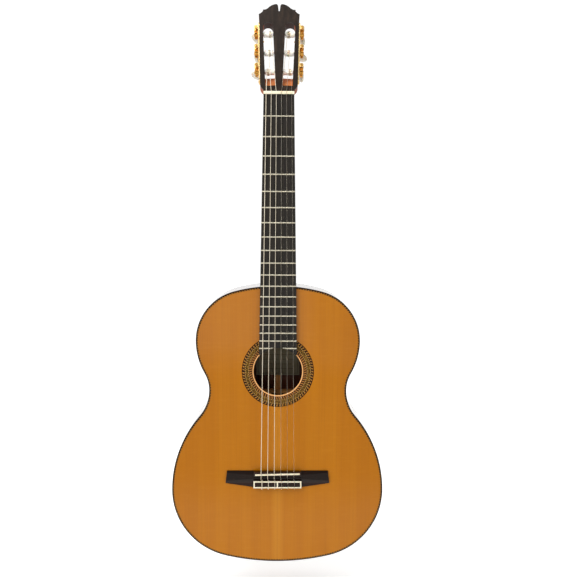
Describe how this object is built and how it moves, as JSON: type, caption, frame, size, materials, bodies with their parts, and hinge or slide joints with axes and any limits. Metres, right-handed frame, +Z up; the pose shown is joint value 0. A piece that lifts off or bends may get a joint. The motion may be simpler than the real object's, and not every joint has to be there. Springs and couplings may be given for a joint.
{
  "type": "classical guitar",
  "caption": "Classical guitar with amber spruce top, inlaid rosette, ebony fingerboard, slotted head and worm-geared tuners that turn.",
  "frame": {"origin": "middle of the nut's front edge, on the plane of the soundboard's face", "axes": "+X to the treble side, +Y to the back, +Z up along the neck to the head"},
  "size_m": [0.372, 0.1161, 0.9789],
  "materials": {
    "spruce_top": "gloss lacquer",
    "rosette_inlay": "gloss lacquer",
    "rosewood_back": "gloss lacquer",
    "strip_inlay": "gloss lacquer",
    "rosewood_sides": "gloss lacquer",
    "rosewood_binding": "gloss lacquer",
    "rope_purfling": "gloss lacquer",
    "cedar_inner": "bare sanded",
    "label_paper": "matte",
    "cedar_neck": "gloss lacquer",
    "head_facing": "gloss lacquer",
    "ebony_board": "satin oiled",
    "fret_wire": "polished",
    "bone": "polished",
    "rosewood_bridge": "gloss lacquer",
    "gilt_plate": "gilt",
    "gilt_screws": "gilt",
    "pearl_button": "pearl",
    "gilt_worm": "gilt",
    "brass_gear": "polished",
    "white_roller": "polished",
    "clear_nylon": "clear",
    "wound_string": "round wound"
  },
  "bodies": {
    "root": {"soundboard": "spruce_top", "rosette": "rosette_inlay", "back_bass": "rosewood_back", "back_treble": "rosewood_back", "back_strip": "strip_inlay", "side_bass": "rosewood_sides", "side_treble": "rosewood_sides", "top_binding": "rosewood_binding", "top_purfling": "rope_purfling", "back_binding": "rosewood_binding", "end_graft": "strip_inlay", "linings": "cedar_inner", "soundboard_braces": "cedar_inner", "back_braces": "cedar_inner", "back_seam_strip": "cedar_inner", "label": "label_paper", "tail_block": "cedar_inner", "neck": "cedar_neck", "head": "cedar_neck", "head_veneer": "head_facing", "heel_cap": "head_facing", "fingerboard": "ebony_board", "frets": "fret_wire", "nut": "bone", "bridge": "rosewood_bridge", "saddle": "bone", "tie_block_inlay": "bone", "tuner_plate_bass": "gilt_plate", "tuner_plate_treble": "gilt_plate", "tuner_screws": "gilt_screws", "string_1": "clear_nylon", "string_2": "clear_nylon", "string_3": "clear_nylon", "string_4": "wound_string", "string_5": "wound_string", "string_6": "wound_string"},
    "key_1": {"button_1": "pearl_button", "worm_1": "gilt_worm"},
    "roller_body_1": {"gear_1": "brass_gear", "roller_1": "white_roller"},
    "key_2": {"button_2": "pearl_button", "worm_2": "gilt_worm"},
    "roller_body_2": {"gear_2": "brass_gear", "roller_2": "white_roller"},
    "key_3": {"button_3": "pearl_button", "worm_3": "gilt_worm"},
    "roller_body_3": {"gear_3": "brass_gear", "roller_3": "white_roller"},
    "key_4": {"button_4": "pearl_button", "worm_4": "gilt_worm"},
    "roller_body_4": {"gear_4": "brass_gear", "roller_4": "white_roller"},
    "key_5": {"button_5": "pearl_button", "worm_5": "gilt_worm"},
    "roller_body_5": {"gear_5": "brass_gear", "roller_5": "white_roller"},
    "key_6": {"button_6": "pearl_button", "worm_6": "gilt_worm"},
    "roller_body_6": {"gear_6": "brass_gear", "roller_6": "white_roller"}
  },
  "joints": [
    {"name": "key_1_turn", "type": "hinge", "parent": "root", "child": "key_1", "pos_m": [0.03858, 0.01941, 0.0504], "axis": [0, -0.9659, 0.2588], "continuous": true},
    {"name": "roller_1_turn", "type": "hinge", "parent": "root", "child": "roller_body_1", "pos_m": [0.03262, 0.01686, 0.04086], "axis": [0.9998, -0.0054, -0.0201], "continuous": true},
    {"name": "key_2_turn", "type": "hinge", "parent": "root", "child": "key_2", "pos_m": [0.03931, 0.02847, 0.08421], "axis": [0, -0.9659, 0.2588], "continuous": true},
    {"name": "roller_2_turn", "type": "hinge", "parent": "root", "child": "roller_body_2", "pos_m": [0.03335, 0.02591, 0.07467], "axis": [0.9998, -0.0054, -0.0201], "continuous": true},
    {"name": "key_3_turn", "type": "hinge", "parent": "root", "child": "key_3", "pos_m": [0.04004, 0.03753, 0.11802], "axis": [0, -0.9659, 0.2588], "continuous": true},
    {"name": "roller_3_turn", "type": "hinge", "parent": "root", "child": "roller_body_3", "pos_m": [0.03408, 0.03497, 0.10847], "axis": [0.9998, -0.0054, -0.0201], "continuous": true},
    {"name": "key_4_turn", "type": "hinge", "parent": "root", "child": "key_4", "pos_m": [-0.04004, 0.03753, 0.11802], "axis": [0, 0.9659, -0.2588], "continuous": true},
    {"name": "roller_4_turn", "type": "hinge", "parent": "root", "child": "roller_body_4", "pos_m": [-0.03408, 0.03497, 0.10847], "axis": [-0.9998, -0.0054, -0.0201], "continuous": true},
    {"name": "key_5_turn", "type": "hinge", "parent": "root", "child": "key_5", "pos_m": [-0.03931, 0.02847, 0.08421], "axis": [0, 0.9659, -0.2588], "continuous": true},
    {"name": "roller_5_turn", "type": "hinge", "parent": "root", "child": "roller_body_5", "pos_m": [-0.03335, 0.02591, 0.07467], "axis": [-0.9998, -0.0054, -0.0201], "continuous": true},
    {"name": "key_6_turn", "type": "hinge", "parent": "root", "child": "key_6", "pos_m": [-0.03858, 0.01941, 0.0504], "axis": [0, 0.9659, -0.2588], "continuous": true},
    {"name": "roller_6_turn", "type": "hinge", "parent": "root", "child": "roller_body_6", "pos_m": [-0.03262, 0.01686, 0.04086], "axis": [-0.9998, -0.0054, -0.0201], "continuous": true}
  ],
  "couplings": [
    {"joint": "roller_1_turn", "follows": "key_1_turn", "ratio": -0.071429},
    {"joint": "roller_2_turn", "follows": "key_2_turn", "ratio": -0.071429},
    {"joint": "roller_3_turn", "follows": "key_3_turn", "ratio": -0.071429},
    {"joint": "roller_4_turn", "follows": "key_4_turn", "ratio": -0.071429},
    {"joint": "roller_5_turn", "follows": "key_5_turn", "ratio": -0.071429},
    {"joint": "roller_6_turn", "follows": "key_6_turn", "ratio": -0.071429}
  ]
}
